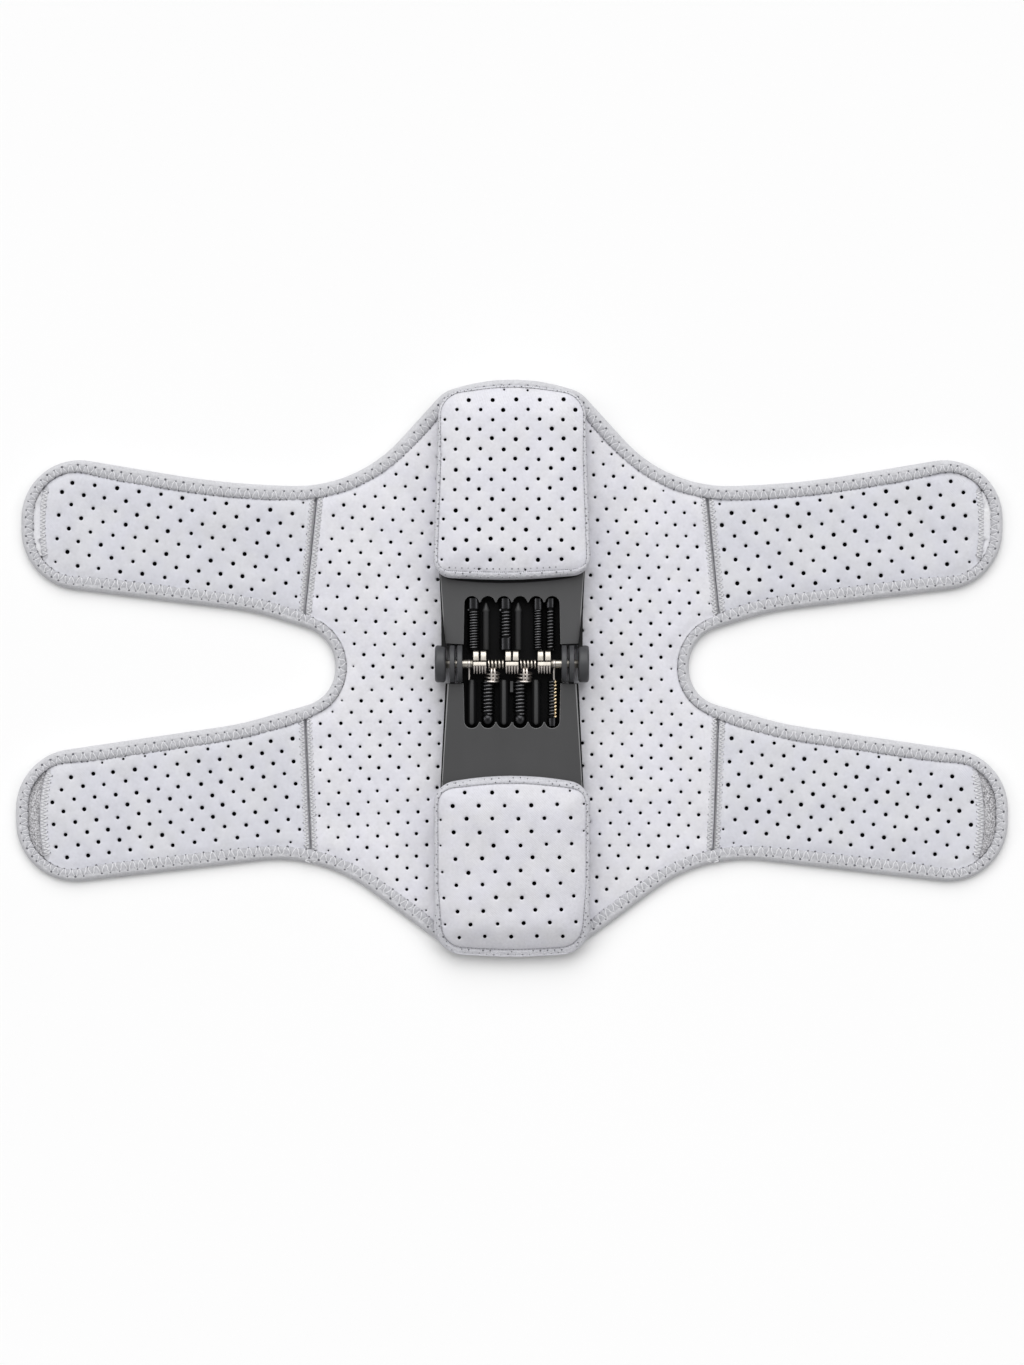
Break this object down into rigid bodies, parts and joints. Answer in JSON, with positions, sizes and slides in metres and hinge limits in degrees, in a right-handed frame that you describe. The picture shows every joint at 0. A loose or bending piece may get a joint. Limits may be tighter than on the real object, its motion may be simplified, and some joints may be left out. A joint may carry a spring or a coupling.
{
  "type": "hinged knee brace",
  "caption": "Knee brace lying open: a perforated foam-cloth wrap with strap wings and a bound edge, padded pockets, and a plastic hinge with springs on a metal pin.",
  "frame": {"origin": "middle of the footprint, on the surface that the cloth lies on", "axes": "+X along the straps, +Y towards the thigh end, +Z out of the face with the hinge"},
  "size_m": [0.4954, 0.2875, 0.0242],
  "materials": {
    "wrap_cloth": "perforated foam laminate, pale lavender grey",
    "pad_cloth": "perforated foam laminate, pale lavender grey",
    "binding_cloth": "knit tape with zigzag stitching, light grey",
    "tab_cloth": "brushed loop cloth, grey",
    "hinge_plastic": "satin, dark grey",
    "black_steel": "gloss black",
    "nickel": "nickel plate"
  },
  "bodies": {
    "root": {"edge_binding": "binding_cloth", "eye_lower_left": "nickel", "eye_lower_right": "nickel", "guide_rod_lower_1": "hinge_plastic", "guide_rod_lower_3": "hinge_plastic", "guide_rod_lower_5": "hinge_plastic", "guide_rod_upper_2": "hinge_plastic", "guide_rod_upper_4": "hinge_plastic", "hinge_leaf_lower": "hinge_plastic", "hinge_leaf_upper": "hinge_plastic", "hinge_pin": "nickel", "pad_lower": "pad_cloth", "pad_rim_lower": "binding_cloth", "pad_rim_upper": "binding_cloth", "pad_upper": "pad_cloth", "pin_coil_1": "nickel", "pin_coil_2": "nickel", "spring_lower_2": "black_steel", "spring_lower_4": "black_steel", "spring_lower_6": "black_steel", "spring_rod_lower_2": "black_steel", "spring_rod_lower_4": "black_steel", "spring_rod_lower_6": "black_steel", "spring_rod_upper_1": "black_steel", "spring_rod_upper_3": "black_steel", "spring_rod_upper_5": "black_steel", "spring_rod_upper_6": "black_steel", "spring_upper_1": "black_steel", "spring_upper_3": "black_steel", "spring_upper_5": "black_steel", "spring_upper_6": "black_steel", "strap_lower_left": "wrap_cloth", "strap_lower_right": "wrap_cloth", "strap_upper_left": "wrap_cloth", "strap_upper_right": "wrap_cloth", "tip_tab_lower_left": "tab_cloth", "tip_tab_lower_right": "tab_cloth", "tip_tab_upper_left": "tab_cloth", "tip_tab_upper_right": "tab_cloth", "wrap_panel": "wrap_cloth", "yoke_lower_1": "nickel", "yoke_lower_2": "nickel", "yoke_upper_1": "nickel", "yoke_upper_2": "nickel", "yoke_upper_3": "nickel"}
  },
  "joints": []
}
